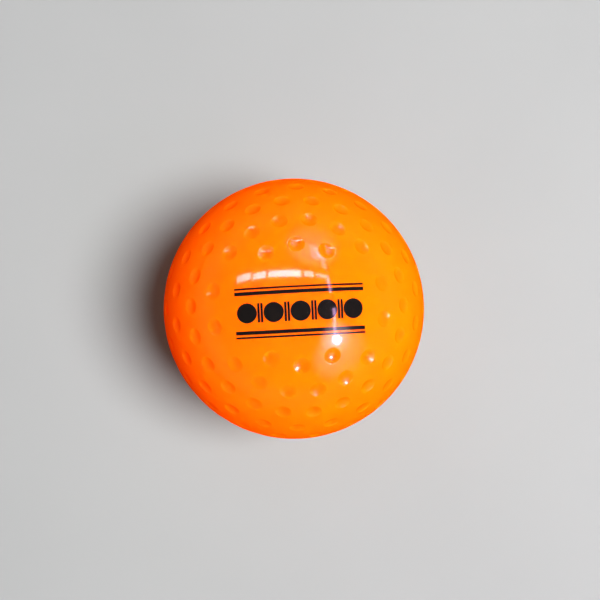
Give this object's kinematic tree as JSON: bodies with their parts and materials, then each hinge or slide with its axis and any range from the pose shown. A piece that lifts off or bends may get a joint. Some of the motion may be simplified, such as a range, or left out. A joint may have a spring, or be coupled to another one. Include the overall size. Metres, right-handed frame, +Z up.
{
  "type": "field hockey ball",
  "caption": "Dimpled field hockey ball: a glossy moulded plastic cover in two welded cups over a quilted centre of cork and twine.",
  "frame": {"origin": "centre of the ball", "axes": "+Z up through the middle of the smooth print area on the upper cup, +X along the print area's long side, the weld line of the cover on the XY plane"},
  "size_m": [0.073, 0.073, 0.073],
  "materials": {
    "cover_plastic": "glossy moulded orange",
    "twine": "tightly wound natural twine",
    "cork": "cut cork sheet",
    "rubberised_cork": "moulded cork grains in dark rubber"
  },
  "bodies": {
    "root": {"upper_cover": "cover_plastic", "lower_cover": "cover_plastic", "outer_twine": "twine", "outer_cork_left": "cork", "outer_cork_right": "cork", "middle_twine": "twine", "inner_cork_front": "cork", "inner_cork_back": "cork", "inner_twine": "twine", "nucleus": "rubberised_cork"}
  },
  "joints": []
}
